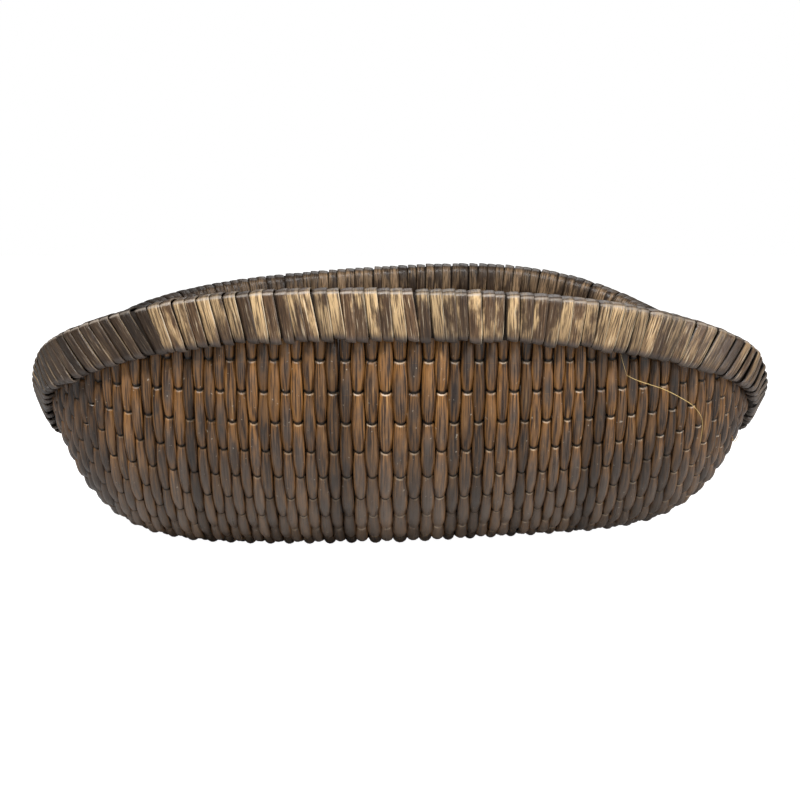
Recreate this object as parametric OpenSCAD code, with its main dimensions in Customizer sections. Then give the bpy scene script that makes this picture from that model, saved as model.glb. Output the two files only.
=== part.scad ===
// Boat-shaped willow basket: round rods laid side by side across the basket, each bent into a U,
// tied together by rows of hemp twine that run lengthwise, and closed by a bound rim.
// Millimetres, +X along the length, +Z up, origin on the table under the middle of the basket.

/* [Basket] */
// Length of the rim's centre line, end to end
rim_length = 452; // [444:1:460]
// Width of the rim's centre line, side to side
rim_width = 340; // [332:1:350]
// Height of the rim's centre line at the middle of each side
side_height = 158; // [152:1:164]
// How much lower the rim is at the middle of each end
end_drop = 73; // [69:1:77]

/* [Rods] */
// Rods on each side of the centre one
rods_per_half = 37; // [34:1:37]
// Gap between one rod and the next, for the twine
rod_gap = 1; // [1:0.1:1.2]
// Share of the half width that lies flat on the table
flat_share = 0.28; // [0.24:0.01:0.3]
// Lean of the wall at the middle of a side, from the table
wall_angle = 86; // [82:1:88]

/* [Twine] */
// Rows of twine between the keel and the rim, on each side
rows_per_side = 13; // [10:1:13]
// Thickness of the twine
twine_d = 0.6; // [0.5:0.1:0.6]

/* [Rim] */
// Thickness of each hoop
hoop_t = 4; // [3:0.5:5]
// Thickness of the split-willow binding
binding_t = 1; // [0.8:0.1:1.2]

/* [Hidden] */
rod_pairs = [for (i = [1:rods_per_half]) str("rod_pair_", i < 10 ? "0" : "", i)];
twine_rows = [for (k = [1:rows_per_side]) str("twine_row_", k < 10 ? "0" : "", k)];
bindings = ["rim_binding_front", "rim_binding_back", "rim_binding_left_end"];

$fn = 24;

rim_a = rim_length / 2;
rim_b = rim_width / 2;
rim_power_x = 3.1;          // superellipse powers of the rim seen from above
rim_power_y = 3.4;
side_drop_share = 0.61;     // share of the end drop that is spread along the sides
end_drop_power = 23;        // how late the rest of the drop comes
rim_lean = 30;              // how far the rim leans outward at the middle of each end
lean_start = 0.9;           // endness at which that lean starts

keel_reach = 221;           // where the keel line would stand upright
keel_rise = 126;            // height of the keel line there
keel_power = 7.1;
last_rod_x = 213;           // station of the outermost rod
centre_boost = 0.28;        // how much wider the centre's rods are spaced than the mean
sole = 0.25;                // depth that the table side of a rod is flattened

low_bend_angle = 32;        // angle turned by the wide bend of the bottom
wall_angle_loss = 7;        // how much flatter the outermost rods' walls are
straight_share = 0.25;      // share of a rod's height that is its straight top
clamped_endness = 0.75;     // rods beyond this stop under the rim, where it runs along them
clamped_length = 3;         // how far a clamped rod stands above the rim's centre line
rim_clearance = 1.2;        // room between the other rods and the rim
lean_room = 3;              // and how much lower the leaning rim's outer edge hangs
taper = 0.02;               // step in radius from one length of a rod to the next
lap = 0.4;                  // overlap of those lengths

// Rim: hoops and filler rod, measured out from and up from the rim's centre line
slot = 4.4;                 // half the space between the hoops
outer_hoop_low = -14;
outer_hoop_high = 12;
inner_hoop_low = -8;
inner_hoop_high = 10;
filler_height = 7.4;
filler_r = 3.3;
binding_play = 0.1;
lip_start = slot + 0.2;     // where the binding turns up beside the rods
rim_steps = 84;
cutter = 400;

// Twine: each row lies in one plane, square to the centre rod, and goes under one rod and over the next
table_rows = 2;             // rows nearer the keel than this lie in dents, clear of the table
dent_play = 0.15;
row_span_share = 0.895;     // share of the centre rod's length that the rows cover
side_samples = 60;

willow = "#6a5342";
dark_willow = "#57483a";
golden_willow = "#a07c46";
hemp = "#8f7a52";

// ---- lines that the whole basket follows ----

// A number from 0 at the middle of a side to 1 at the middle of an end
function endness(x) = pow(min(1, abs(x) / rim_a), rim_power_x / 2);
function rim_z(x) =
    let (c = endness(x))
    side_height - end_drop * (side_drop_share * pow(c, 2) + (1 - side_drop_share) * pow(c, end_drop_power));
function rim_lean_at(x) = rim_lean * max(0, endness(x) - lean_start) / (1 - lean_start);
function rim_y(x) = rim_b * pow(max(0, 1 - pow(abs(x) / rim_a, rim_power_x)), 1 / rim_power_y);
function keel_lift(x) = keel_rise * (1 - sqrt(1 - pow(abs(x) / keel_reach, keel_power)));

// Stations of the rods: nearly equal steps along the keel line, a little wider at the centre
table_step = 0.5;
keel_table = [for (x = 0, s = 0; x <= last_rod_x;
                   s = s + norm([table_step, keel_lift(x + table_step) - keel_lift(x)]),
                   x = x + table_step) [s, x]];
keel_length = keel_table[len(keel_table) - 1][0];
function keel_share(i) = let (t = i / rods_per_half) t + centre_boost * t * pow(1 - t, 4);
function station(i) = sign(i) * lookup(keel_length * keel_share(abs(i)), keel_table);
function rod_r(i) =
    (keel_length * (keel_share(abs(i) + 0.5) - keel_share(abs(i) - 0.5)) - rod_gap) / 2;

// ---- one rod's bend: flat, wide bend, close bend, straight wall ----
// bend = [half width of the flat, wide radius, close radius, wall angle, straight length, axis height]
function bend(i) =
    let (x = station(i), lean = wall_angle - wall_angle_loss * pow(i / rods_per_half, 4),
         keel_z = rod_r(i) - sole + keel_lift(x),
         height = rim_z(x) - keel_z,
         straight = straight_share * height / sin(lean),
         flat = flat_share * rim_y(x),
         across = rim_y(x) - straight * cos(lean) - flat,
         up = height - straight * sin(lean),
         a1 = sin(low_bend_angle), b1 = sin(lean) - sin(low_bend_angle),
         a2 = 1 - cos(low_bend_angle), b2 = cos(low_bend_angle) - cos(lean),
         det = a1 * b2 - a2 * b1)
    [flat, (across * b2 - up * b1) / det, (up * a1 - across * a2) / det, lean, straight, keel_z];

// Most rods go up between the hoops. The outermost ones, which the rim runs along, stop under it.
function is_clamped(i) = endness(station(i)) < clamped_endness;
function cut_height(i) =
    rim_z(abs(station(i)) + rod_r(i) + rim_clearance) + outer_hoop_low - lean_room - rim_clearance;

function arc_length(radius, angle) = radius * angle * PI / 180;
function bend_length(b) =
    b[0] + arc_length(b[1], low_bend_angle) + arc_length(b[2], b[3] - low_bend_angle) + b[4];

// Slope of a rod's axis at distance s from the keel, and that point as [y, z]
function bend_angle(b, s) =
    let (s1 = b[0], s2 = s1 + arc_length(b[1], low_bend_angle))
    s <= s1 ? 0
    : s <= s2 ? (s - s1) / b[1] * 180 / PI
    : min(b[3], low_bend_angle + (s - s2) / b[2] * 180 / PI);
function on_bend(b, s) =
    let (t = bend_angle(b, s), t1 = min(t, low_bend_angle), t2 = max(t, low_bend_angle),
         s3 = bend_length(b) - b[4], wall = [cos(b[3]), sin(b[3])])
    [min(s, b[0]), b[5]]
    + b[1] * [sin(t1), 1 - cos(t1)]
    + (t > low_bend_angle ? b[2] * [sin(t2) - sin(low_bend_angle), cos(low_bend_angle) - cos(t2)] : [0, 0])
    + max(0, s - s3) * wall;

// An arc of rod in the plane x = 0, about [y, z], from one angle to another, 0 being straight down
module rod_arc(y, z, radius, from, to, r)
    translate([0, y, z])
        rotate([0, 90, 0])
            rotate_extrude(angle = to - from, start = from)
                translate([radius, 0]) circle(r = r);

module half_rod(b, r) {
    close_y = b[0] + (b[1] - b[2]) * sin(low_bend_angle);
    close_z = b[5] + b[1] - (b[1] - b[2]) * cos(low_bend_angle);
    overlap = 0.3;
    rod_arc(b[0], b[5] + b[1], b[1], 0, low_bend_angle + overlap, r + taper);
    rod_arc(close_y, close_z, b[2], low_bend_angle, b[3] + overlap, r + 2 * taper);
    translate([0, close_y + b[2] * sin(b[3]), close_z - b[2] * cos(b[3])])
        rotate([b[3] - 90, 0, 0]) cylinder(h = b[4] + clamped_length, r = r + 3 * taper);
}

// ---- where the rows of twine cross the rods ----

function row_distance(k) = bend_length(bend(0)) * row_span_share * k / rows_per_side;
function row_tilt(k) = bend_angle(bend(0), row_distance(k));
function row_start(k) = on_bend(bend(0), row_distance(k));

// Distance along rod i at which it crosses the plane of row k, or undef where it stops short of it
function crossing(k, i) =
    let (b = bend(i), reach = bend_length(b), along_rod = [cos(row_tilt(k)), sin(row_tilt(k))],
         table = [for (j = [0:side_samples]) let (s = reach * j / side_samples)
                  [(on_bend(b, s) - row_start(k)) * along_rod, s]],
         s = table[side_samples][0] < 0 || table[0][0] > 0 ? undef : lookup(0, table))
    is_undef(s) || (!is_clamped(i) && on_bend(b, s)[1] > cut_height(i) - 2) ? undef : s;

// Twine row k passes under rod i, on the table's side of it, or over it, on the fruit's side
function passes_under(k, i) = (k + abs(i)) % 2 == 1;
function lies_on_table(i) = keel_lift(station(i)) < sole + twine_d + 2 * dent_play + 0.1;

// Crossings of row k as [x, height in the plane, level of the twine there]
function row_points(k) =
    let (outward = [sin(row_tilt(k)), -cos(row_tilt(k))])
    [for (i = [-rods_per_half:rods_per_half])
        let (s = crossing(k, i))
        if (!is_undef(s))
            let (b = bend(i), r = rod_r(i), slant = bend_angle(b, s) - row_tilt(k),
                 clear = r / cos(slant) + dent_play + twine_d / 2,
                 dented = r - sole - dent_play - twine_d / 2)
            [station(i), (on_bend(b, s) - row_start(k)) * outward,
             !passes_under(k, i) ? -clear : k <= table_rows && lies_on_table(i) ? dented : clear]];

// One edge of the twine's outline, side being 1 for its outer edge and -1 for its inner edge
function twine_edge(points, side) =
    [for (j = [0:len(points) - 2])
        let (here = points[j], next = points[j + 1],
             step = [next[0] - here[0], next[1] - here[1]], along = step / norm(step),
             out = [-along[1], along[0]],
             middle = [here[0] + next[0], here[1] + next[1]] / 2 - side * sign(next[2] - here[2]) * twine_d / 2 * along)
        for (level = [here[2], next[2]]) middle + out * (level + side * twine_d / 2)];

module twine_row(k) {
    points = row_points(k);
    inner = twine_edge(points, -1);
    color(hemp)
        translate([0, row_start(k)[0], row_start(k)[1]])
            rotate([row_tilt(k) - 90, 0, 0])
                translate([0, 0, -twine_d / 2])
                    linear_extrude(twine_d)
                        polygon(concat(twine_edge(points, 1), [for (j = [len(inner) - 1:-1:0]) inner[j]]));
}

// ---- the rods ----

// Dents that the twine presses into the sole of rod i
module dents(i) {
    b = bend(i);
    depth = twine_d + 2 * dent_play;
    for (k = [0:table_rows]) if (passes_under(k, i)) {
        s = crossing(k, i);
        for (side = k == 0 ? [0] : [0, 1]) mirror([0, side, 0])
            translate([0, on_bend(b, s)[0], on_bend(b, s)[1]]) rotate([bend_angle(b, s), 0, 0])
                translate([-rod_r(i) - 1, -twine_d / 2 - dent_play, -rod_r(i) - 1])
                    cube([2 * rod_r(i) + 2, twine_d + 2 * dent_play, 1 + sole + depth]);
    }
}

// A whole rod, with its sole flattened by the table
module rod(i) {
    b = bend(i);
    r = rod_r(i);
    color(willow) translate([station(i), 0, 0]) difference() {
        union() {
            translate([0, -b[0] - lap, b[5]]) rotate([-90, 0, 0]) cylinder(h = 2 * (b[0] + lap), r = r);
            for (side = [0, 1]) mirror([0, side, 0]) half_rod(b, r);
        }
        if (lies_on_table(i)) dents(i);
        if (b[5] < r) translate([-cutter / 2, -cutter / 2, -cutter]) cube(cutter);
        if (!is_clamped(i)) translate([-cutter / 2, -cutter / 2, cut_height(i)]) cube(cutter);
    }
}

// ---- the rim ----

rim_fine = 720;
function rim_at(t) =
    let (c = cos(t), s = sin(t))
    [rim_a * sign(c) * pow(abs(c), 2 / rim_power_x), rim_b * sign(s) * pow(abs(s), 2 / rim_power_y)];
rim_table = [for (j = 0, length = 0; j <= rim_fine;
                  length = length + norm(rim_at(360 * (j + 1) / rim_fine) - rim_at(360 * j / rim_fine)),
                  j = j + 1) [length, 360 * j / rim_fine]];
rim_around = rim_table[rim_fine][0];

// Point of the rim at a share of the way round, moved out by r and up by h
function rim_point(share, r, h) =
    let (p = rim_at(lookup(rim_around * share, rim_table)),
         n = [sign(p[0]) * pow(abs(p[0]) / rim_a, rim_power_x - 1) * rim_power_x / rim_a,
              sign(p[1]) * pow(abs(p[1]) / rim_b, rim_power_y - 1) * rim_power_y / rim_b],
         out = n / norm(n), lean = rim_lean_at(p[0]),
         away = r * cos(lean) + h * sin(lean), up = h * cos(lean) - r * sin(lean))
    [p[0] + out[0] * away, p[1] + out[1] * away, rim_z(p[0]) + up];

// A section of [out, up] points carried along the rim, from one share of the way round to another
module along_rim(section, from = 0, to = 1) {
    closed = to - from == 1;
    n = len(section);
    rings = round((to - from) * rim_steps) + (closed ? 0 : 1);
    points = [for (j = [0:rings - 1]) let (share = from + (to - from) * j / (closed ? rings : rings - 1))
              for (q = section) rim_point(share, q[0], q[1])];
    sides = [for (j = [0:rings - (closed ? 1 : 2)], q = [0:n - 1])
             let (here = j * n, next = ((j + 1) % rings) * n, r = (q + 1) % n)
             each [[here + q, here + r, next + r], [here + q, next + r, next + q]]];
    ends = closed ? [] : [[for (q = [n - 1:-1:0]) q], [for (q = [0:n - 1]) (rings - 1) * n + q]];
    polyhedron(points, concat(sides, ends));
}

function block(r0, r1, h0, h1) = [[r0, h0], [r0, h1], [r1, h1], [r1, h0]];

module outer_hoop()
    color(dark_willow) along_rim(block(slot, slot + hoop_t, outer_hoop_low, outer_hoop_high));

module inner_hoop()
    color(dark_willow) along_rim(block(-slot - hoop_t, -slot, inner_hoop_low, inner_hoop_high));

// The rod that closes the rim over the clamped ends
module rim_filler_rod()
    color(willow)
        along_rim([for (a = [0:60:300]) [0, filler_height] + filler_r * [sin(a), cos(a)]]);

// Binding: a sleeve round both hoops, open below for the rods, with a lip under each hoop
module binding(from, to, shade) {
    near = slot + hoop_t + binding_play;
    far = near + binding_t;
    low_out = outer_hoop_low - binding_play;
    low_in = inner_hoop_low - binding_play;
    high_out = outer_hoop_high + binding_play;
    high_in = inner_hoop_high + binding_play;
    color(shade) along_rim([
        [-lip_start, low_in], [-near, low_in], [-near, high_in], [near, high_out],
        [near, low_out], [lip_start, low_out], [lip_start, low_out - binding_t], [far, low_out - binding_t],
        [far, high_out + binding_t], [-far, high_in + binding_t],
        [-far, low_in - binding_t], [-lip_start, low_in - binding_t]], from, to);
}

rod(0);  // centre_rod
for (i = [1:rods_per_half]) union() {
    rod(i);
    rod(-i);
}
twine_row(0);  // keel_twine
for (k = [1:rows_per_side]) union() {
    twine_row(k);
    mirror([0, 1, 0]) twine_row(k);
}
outer_hoop();
inner_hoop();
rim_filler_rod();
binding(0.66, 0.999, golden_willow);  // rim_binding_front
binding(0, 0.419, dark_willow);  // rim_binding_back
binding(0.42, 0.659, willow);  // rim_binding_left_end
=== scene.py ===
# %% [markdown]
# # A woven willow fruit basket
#
# The basket is a boat of round willow rods, laid side by side across it and each bent into a U.
# Rows of hemp twine run along it and weave under one rod and over the next. Where the twine
# crosses a rod it pulls the bark in, so every rod looks like a string of long beads, and the
# beads of its neighbours lie half a bead away. Two hoops clamp the rods' ends, and a split-willow
# binding is wound round both. We build each of these as the basket maker does: as a strand that
# follows a path. Geometry Nodes are the right tool for that, because a path plus a few rules
# gives thousands of small, exact shapes.

# %% Load the frame that the design fixes
import math

import bpy
import numpy as np
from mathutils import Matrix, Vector


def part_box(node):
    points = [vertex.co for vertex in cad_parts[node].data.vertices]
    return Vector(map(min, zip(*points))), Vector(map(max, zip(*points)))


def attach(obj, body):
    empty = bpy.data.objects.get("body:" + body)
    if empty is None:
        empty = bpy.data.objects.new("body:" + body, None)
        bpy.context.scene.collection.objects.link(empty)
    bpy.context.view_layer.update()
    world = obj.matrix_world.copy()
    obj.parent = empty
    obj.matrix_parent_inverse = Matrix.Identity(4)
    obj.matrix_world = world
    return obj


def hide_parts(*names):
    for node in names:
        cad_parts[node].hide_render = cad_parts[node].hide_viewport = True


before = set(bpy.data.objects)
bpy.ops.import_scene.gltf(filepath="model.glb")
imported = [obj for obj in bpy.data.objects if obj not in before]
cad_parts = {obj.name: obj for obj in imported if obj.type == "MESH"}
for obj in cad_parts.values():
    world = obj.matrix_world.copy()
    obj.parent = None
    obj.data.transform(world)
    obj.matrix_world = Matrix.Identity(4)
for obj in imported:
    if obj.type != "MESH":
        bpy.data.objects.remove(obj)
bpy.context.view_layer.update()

# %% [markdown]
# ## The lines that everything follows
#
# Every piece of the basket hangs on three lines: the rim seen from above, how high the rim runs,
# and the keel, which is the lowest line along the basket. Each one is a short formula, so a rod,
# a row of twine and a turn of binding can all ask the same functions where they belong. The rim
# is a superellipse, a rounded rectangle whose roundness is one number. Its size comes from the
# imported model's own hoop, and the other values repeat the design's rules in metres.

# %% Rim and keel
HOOP_OUT = 0.0084               # the outer hoop's face, out from the rim's centre line
HOOP_UP = 0.012                 # its top, up from the centre line
RIM_LEAN = math.radians(30)     # how far the rim leans outward at the middle of each end
LEAN_START = 0.9                # how near the end that lean starts
_, hoop_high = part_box("outer_hoop")
RIM_A = hoop_high.x - HOOP_OUT * math.cos(RIM_LEAN) - HOOP_UP * math.sin(RIM_LEAN)
RIM_B = hoop_high.y - HOOP_OUT
SIDE_HEIGHT = hoop_high.z - HOOP_UP
END_DROP = 0.073
POWER_X, POWER_Y = 3.1, 3.4
KEEL_REACH, KEEL_RISE, KEEL_POWER = 0.221, 0.126, 7.1
LAST_ROD_X = 0.213


def endness(x):
    """0 at the middle of a side, 1 at the middle of an end."""
    return np.minimum(1, np.abs(x) / RIM_A) ** (POWER_X / 2)


def rim_height(x):
    c = endness(x)
    return SIDE_HEIGHT - END_DROP * (0.61 * c ** 2 + 0.39 * c ** 23)


def rim_half_width(x):
    return RIM_B * np.maximum(0, 1 - (np.abs(x) / RIM_A) ** POWER_X) ** (1 / POWER_Y)


def keel_lift(x):
    return KEEL_RISE * (1 - np.sqrt(1 - (np.abs(x) / KEEL_REACH) ** KEEL_POWER))


print("rim centre line in mm:", round(2000 * RIM_A), "by", round(2000 * RIM_B))

# %% [markdown]
# ## Where each rod stands, and how it bends
#
# A maker sorts the rods by thickness and puts the stoutest in the middle. The rods are spaced by
# equal steps along the keel, a little wider at the centre, and a rod's thickness follows from its
# step. In its own upright plane a rod is a flat, a wide bend, a close bend and a straight wall.
# Two equations, one across and one up, give the two radii that make it meet the rim.

# %% Rod stations and bends
RODS_PER_HALF = 37
CENTRE_BOOST = 0.28
ROD_GAP = 0.001
SOLE = 0.00025
LOW_BEND = math.radians(32)
WALL_ANGLE, WALL_ANGLE_LOSS = math.radians(86), math.radians(7)
STRAIGHT_SHARE, FLAT_SHARE = 0.25, 0.28

keel_x = np.arange(0, LAST_ROD_X + 1e-9, 0.0005)
keel_run = np.concatenate([[0], np.cumsum(np.hypot(np.diff(keel_x), np.diff(keel_lift(keel_x))))])


def keel_share(i):
    t = i / RODS_PER_HALF
    return t + CENTRE_BOOST * t * (1 - t) ** 4


def station(i):
    return math.copysign(np.interp(keel_run[-1] * keel_share(abs(i)), keel_run, keel_x), i)


def rod_pitch(i):
    return keel_run[-1] * (keel_share(abs(i) + 0.5) - keel_share(abs(i) - 0.5))


def bend(i):
    """Flat, wide radius, close radius, wall angle, straight, axis height at the keel."""
    x = station(i)
    lean = WALL_ANGLE - WALL_ANGLE_LOSS * (abs(i) / RODS_PER_HALF) ** 4
    foot = (rod_pitch(i) - ROD_GAP) / 2 - SOLE + keel_lift(x)
    height = rim_height(x) - foot
    straight = STRAIGHT_SHARE * height / math.sin(lean)
    flat = FLAT_SHARE * rim_half_width(x)
    across = rim_half_width(x) - straight * math.cos(lean) - flat
    up = height - straight * math.sin(lean)
    wide, close = np.linalg.solve(
        [[math.sin(LOW_BEND), math.sin(lean) - math.sin(LOW_BEND)],
         [1 - math.cos(LOW_BEND), math.cos(LOW_BEND) - math.cos(lean)]], [across, up])
    return flat, wide, close, lean, straight, foot


def bend_lengths(b):
    flat, wide, close, lean, straight, _ = b
    return np.cumsum([flat, wide * LOW_BEND, close * (lean - LOW_BEND), straight])


def slope_on(b, s):
    """Slope of the rod's axis at distance s from the keel."""
    marks = bend_lengths(b)
    return np.interp(s, [marks[0], marks[1], marks[2]], [0, LOW_BEND, b[3]])


def point_on(b, s):
    """Place (y, z) on the rod's axis at distance s from the keel."""
    flat, wide, close, lean, _, foot = b
    t = slope_on(b, s)
    low, high = np.minimum(t, LOW_BEND), np.maximum(t, LOW_BEND)
    past = np.maximum(0, s - bend_lengths(b)[2])
    y = np.minimum(s, flat) + wide * np.sin(low) + close * (np.sin(high) - math.sin(LOW_BEND))
    z = foot + wide * (1 - np.cos(low)) + close * (math.cos(LOW_BEND) - np.cos(high))
    return y + past * math.cos(lean), z + past * math.sin(lean)


print("rods:", 2 * RODS_PER_HALF + 1, "middle pitch in mm:", round(1000 * rod_pitch(0), 2))

# %% [markdown]
# ## Where the twine crosses the rods
#
# Each row of twine lies in one plane, square to the centre rod, because the maker pulls it tight
# round the whole basket. Where that plane cuts a rod is a crossing. Rows near the rim run out
# before the ends, where the rim dips below them.

# %% Rows of twine
ROWS_PER_SIDE = 13
ROW_SPAN_SHARE = 0.895
RIM_COVER = 0.011               # how far below the rim's centre line the outermost rods stop
CLAMPED_ENDNESS = 0.75          # up to here a rod's end is clamped between the hoops
CLAMPED_LENGTH = 0.003          # how far it goes in between them
SHORTEST_END = 0.002            # a rod that ends sooner than this above a row isn't crossed by it
bends = [bend(i) for i in range(RODS_PER_HALF + 1)]
centre_length = bend_lengths(bends[0])[-1]
ROW_PITCH = centre_length * ROW_SPAN_SHARE / ROWS_PER_SIDE


def rod_top(i):
    """Distance from the keel at which rod i ends: between the hoops, or just under the rim."""
    b, x = bends[i], station(i)
    if endness(x) < CLAMPED_ENDNESS:
        return bend_lengths(b)[-1] + CLAMPED_LENGTH
    past = abs(x) + (rod_pitch(i) - ROD_GAP) / 2
    s = np.linspace(0, bend_lengths(b)[-1], 400)
    return np.interp(rim_height(past) - RIM_COVER, point_on(b, s)[1], s)


def crossing(k, i):
    """Distance along rod i at which row k crosses it, or None where the rod stops short."""
    tilt = slope_on(bends[0], ROW_PITCH * k)
    y0, z0 = point_on(bends[0], ROW_PITCH * k)
    s = np.linspace(0, rod_top(i), 400)
    y, z = point_on(bends[i], s)
    ahead = (y - y0) * math.cos(tilt) + (z - z0) * math.sin(tilt)
    crosses = ahead[0] <= 1e-9 and ahead[-1] > SHORTEST_END
    return float(np.interp(0, ahead, s)) if crosses else None


crossings = [[c for k in range(ROWS_PER_SIDE + 1) if (c := crossing(k, i)) is not None]
             for i in range(RODS_PER_HALF + 1)]
print("row pitch in mm:", round(1000 * ROW_PITCH, 1),
      "crossings on half of the last rod:", len(crossings[-1]))

# %% [markdown]
# ## Handmade, not machined
#
# A basket that was bent by hand is never quite even. One smooth function moves any point of the
# basket by a few millimetres: the right end is shallower, the far rim is twisted so that it lies
# lower on the left and higher on the right, and both ends draw in. Every path goes through it, so
# the pieces still fit each other.

# %% The maker's hand
seed = np.random.default_rng(7)
SHALLOWER, PIVOT = 0.075, 0.121     # the right part is squeezed by this share about this height
RIGHT_FROM, RIGHT_BLEND = 0.057, 0.04
TWIST, TWIST_REACH = 0.070, 0.18    # slope of the far rim, and where the twist turns back
FULL_HEIGHT, FULL_WIDTH = 0.17, 0.34
PINCH, DROOP = 0.010, 0.0025        # how far the ends draw in, as a share, and hang down
END_HEIGHT = 0.08


def by_hand(points):
    """Moves points (n, 3) the way a hand-bent frame differs from an even one."""
    x, y, z = np.array(points, float).T
    right = 1 / (1 + np.exp(-(x - RIGHT_FROM) / RIGHT_BLEND))
    z = PIVOT + (z - PIVOT) * (1 - SHALLOWER * right)
    slope = TWIST * x * (1 - (x / TWIST_REACH) ** 2)
    z = z + slope * np.clip(z / FULL_HEIGHT, 0, 1) ** 2 * (0.5 + y / FULL_WIDTH)
    tip = np.minimum(1, np.abs(x) / RIM_A) ** 8
    return np.stack([x * (1 - PINCH * tip), y,
                     z - DROOP * tip * np.clip(z / END_HEIGHT, 0, 1)], -1)


moved = by_hand(np.array([[x, y, SIDE_HEIGHT] for x in (-0.1, 0.1) for y in (-RIM_B, RIM_B)]))
print("rim moved in mm, left near, left far, right near, right far:",
      [round(1000 * (z - SIDE_HEIGHT), 1) for z in moved[:, 2]])


# %% [markdown]
# ## A small helper for node trees
#
# Node trees are written in code here, so a short helper keeps them readable. It adds a node, sets
# its options, and joins or fills its sockets by name, and it works the same for shapes and for
# materials.

# %% Node tree helper
class Tree:
    """A node tree that is being wired up."""

    def __init__(self, tree):
        self.tree = tree

    def add(self, kind, inputs=None, out=0, **options):
        """Adds a node and returns one of its outputs."""
        node = self.tree.nodes.new(kind)
        for name, value in options.items():
            setattr(node, name, value)
        for name, value in (inputs or {}).items():
            self.put(node.inputs[name], value)
        return node.outputs[out]

    def put(self, socket, value):
        if isinstance(value, bpy.types.NodeSocket):
            self.tree.links.new(value, socket)
        else:
            socket.default_value = value

    def math(self, operation, a, b=0.0, c=0.0):
        node = self.tree.nodes.new("ShaderNodeMath")
        node.operation = operation
        for socket, value in zip(node.inputs, (a, b, c)):
            self.put(socket, value)
        return node.outputs[0]

    def times(self, *values):
        """The product of the values."""
        product = values[0]
        for value in values[1:]:
            product = self.math("MULTIPLY", product, value)
        return product

    def vector(self, operation, a, b=None, scale=None, out=0):
        node = self.tree.nodes.new("ShaderNodeVectorMath")
        node.operation = operation
        self.put(node.inputs[0], a)
        if b is not None:
            self.put(node.inputs[1], b)
        if scale is not None:
            self.put(node.inputs["Scale"], scale)
        return node.outputs[out]

    def smooth(self, value, low, high, to_low=0.0, to_high=1.0):
        """A smooth ramp from to_low at low to to_high at high."""
        return self.add("ShaderNodeMapRange", {"Value": value, "From Min": low, "From Max": high,
                                               "To Min": to_low, "To Max": to_high},
                        interpolation_type="SMOOTHSTEP")


class Shape(Tree):
    """A Geometry Nodes tree with named inputs, whose first input is the path it works on."""

    def __init__(self, name, **inputs):
        super().__init__(bpy.data.node_groups.new(name, "GeometryNodeTree"))
        sockets = self.tree.interface
        sockets.new_socket("Path", in_out="INPUT", socket_type="NodeSocketGeometry")
        for label, value in inputs.items():
            kind = {int: "NodeSocketInt", float: "NodeSocketFloat",
                    type(None): "NodeSocketMaterial"}[type(value)]
            item = sockets.new_socket(label.replace("_", " "), in_out="INPUT", socket_type=kind)
            if value is not None:
                item.default_value = value
        sockets.new_socket("Piece", in_out="OUTPUT", socket_type="NodeSocketGeometry")
        start = self.tree.nodes.new("NodeGroupInput")
        self.given = {s.name: s for s in start.outputs}

    def named(self, name, kind="FLOAT"):
        return self.add("GeometryNodeInputNamedAttribute", {"Name": name}, data_type=kind)

    def store(self, geometry, name, value, kind="FLOAT"):
        return self.add("GeometryNodeStoreNamedAttribute",
                        {"Geometry": geometry, "Name": name, "Value": value}, data_type=kind)

    def keep(self, geometry, value, kind="FLOAT"):
        """Captures a value on the geometry: returns the geometry and the captured value."""
        node = self.tree.nodes.new("GeometryNodeCaptureAttribute")
        node.capture_items.new(kind, "Value")
        self.put(node.inputs["Geometry"], geometry)
        self.put(node.inputs["Value"], value)
        return node.outputs["Geometry"], node.outputs["Value"]

    def end(self, geometry):
        """Realizes, sets the material and closes the tree."""
        geometry = self.add("GeometryNodeRealizeInstances", {"Geometry": geometry})
        geometry = self.add("GeometryNodeSetMaterial",
                            {"Geometry": geometry, "Material": self.given["Material"]})
        end = self.tree.nodes.new("NodeGroupOutput")
        self.put(end.inputs[0], geometry)

    def make(self, name, path, **values):
        """Runs the tree on a path mesh and returns the plain mesh object it makes."""
        source = bpy.data.objects.new(name + "_path", path)
        bpy.context.scene.collection.objects.link(source)
        modifier = source.modifiers.new(self.tree.name, "NODES")
        modifier.node_group = self.tree
        for item in self.tree.interface.items_tree:
            label = item.name.replace(" ", "_")
            if item.in_out == "INPUT" and label in values:
                modifier[item.identifier] = values[label]
        seen = source.evaluated_get(bpy.context.evaluated_depsgraph_get())
        mesh = bpy.data.meshes.new_from_object(seen)
        mesh.name = name
        source.modifiers.remove(modifier)
        bpy.data.objects.remove(source)
        bpy.data.meshes.remove(path)
        piece = bpy.data.objects.new(name, mesh)
        bpy.context.scene.collection.objects.link(piece)
        return piece


def path_mesh(lines, closed=False, **values):
    """A mesh of plain edges, one chain a line, with values (one array a line) as attributes."""
    mesh = bpy.data.meshes.new("path")
    starts = np.cumsum([0] + [len(line) for line in lines])
    edges = [(a + j, a + (j + 1) % len(line)) for a, line in zip(starts, lines)
             for j in range(len(line) if closed else len(line) - 1)]
    mesh.from_pydata(np.concatenate(lines).tolist(), edges, [])
    for name, arrays in values.items():
        data = np.concatenate(arrays)
        vector = data.ndim == 2
        layer = mesh.attributes.new(name, "FLOAT_VECTOR" if vector else "FLOAT", "POINT")
        layer.data.foreach_set("vector" if vector else "value", data.astype(np.float32).ravel())
    return mesh


def settle(piece, node):
    """Hides the imported part that the piece stands in for, and hangs it on the body it rides on.
    """
    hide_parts(node)
    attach(piece, "root")
    return piece


# %% [markdown]
# ## Materials, part one: shared effects
#
# Willow bark and split willow are the same plant, so they share their small-scale detail: long
# fibres that run with the strand, dark pores and dust. That detail is one node group with named
# inputs. It reads a "grain" attribute that every strand carries, a coordinate that runs along
# the strand and round it, so the streaks follow each bend.

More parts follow.
